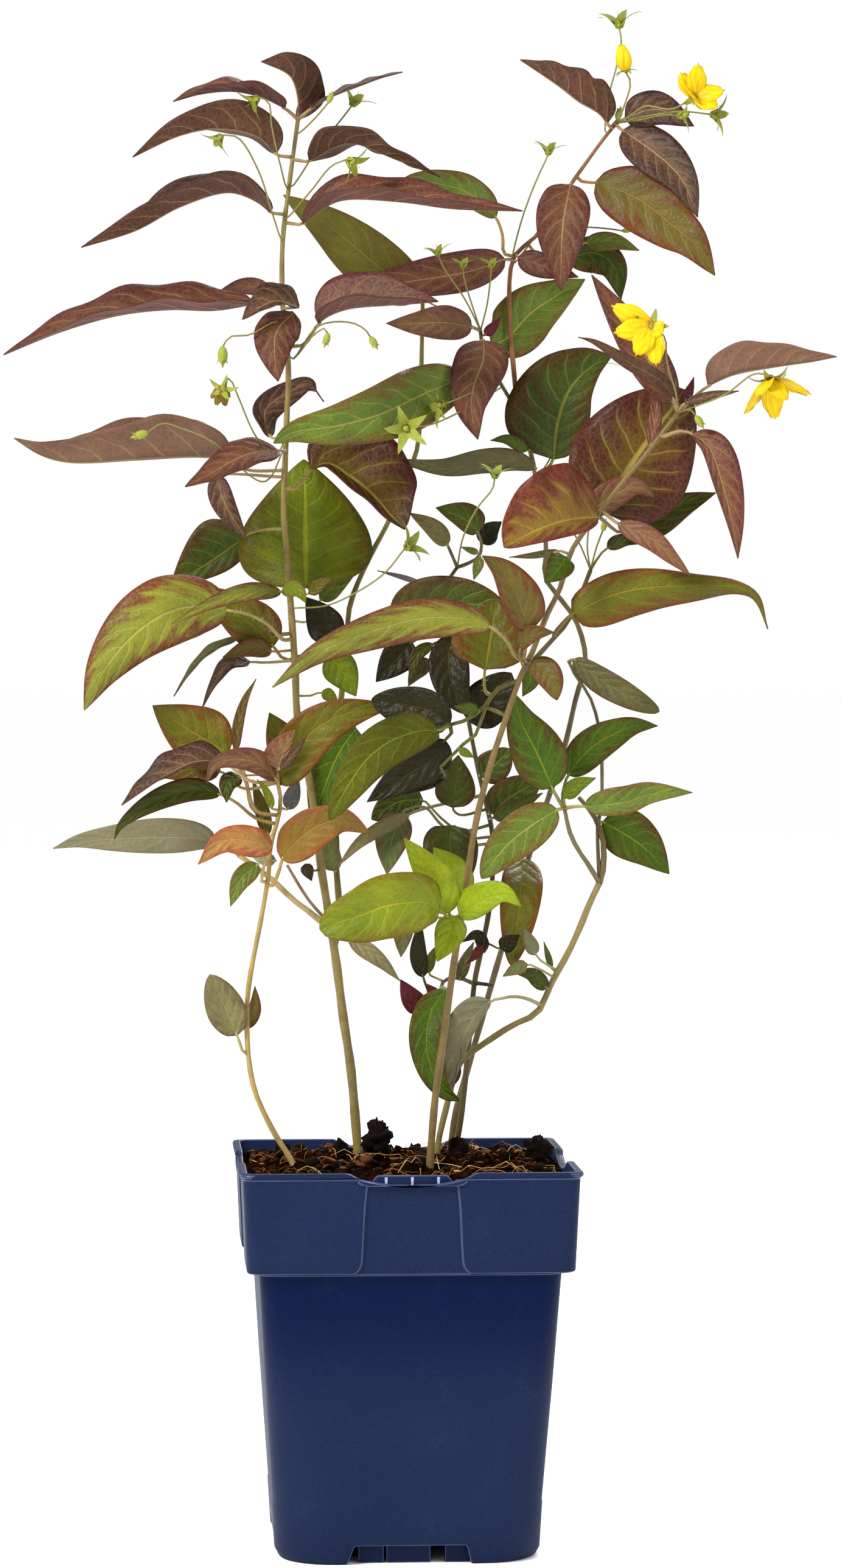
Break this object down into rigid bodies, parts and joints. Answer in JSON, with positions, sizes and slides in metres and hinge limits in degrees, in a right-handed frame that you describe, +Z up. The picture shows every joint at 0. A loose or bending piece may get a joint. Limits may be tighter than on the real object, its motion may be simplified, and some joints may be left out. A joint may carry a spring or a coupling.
{
  "type": "potted flowering perennial",
  "caption": "Leafy perennial with plum and green leaves and small yellow star flowers, growing in a square dark blue plastic nursery pot.",
  "frame": {"origin": "middle of the pot's underside, on the surface it stands on", "axes": "+Z up along the pot's axis, -Y towards the front of the plant, +X to the right seen from the front"},
  "size_m": [0.3583, 0.2094, 0.6937],
  "materials": {
    "pot": "fine satin grain",
    "soil": "loose damp peat with fibres",
    "foliage_plum": "soft satin leaf",
    "foliage_green": "soft satin leaf",
    "petals": "soft satin petal"
  },
  "bodies": {
    "root": {"pot": "pot", "soil": "soil", "shoot_left_tall": "foliage_plum", "shoot_left_small": "foliage_plum", "shoot_front_right": "foliage_plum", "shoot_back_right": "foliage_plum", "shoot_low_right": "foliage_green", "shoot_inner": "foliage_green", "petals_top": "petals", "petals_middle": "petals", "petals_right": "petals", "petals_faded": "petals", "petals_closed": "petals"}
  },
  "joints": []
}
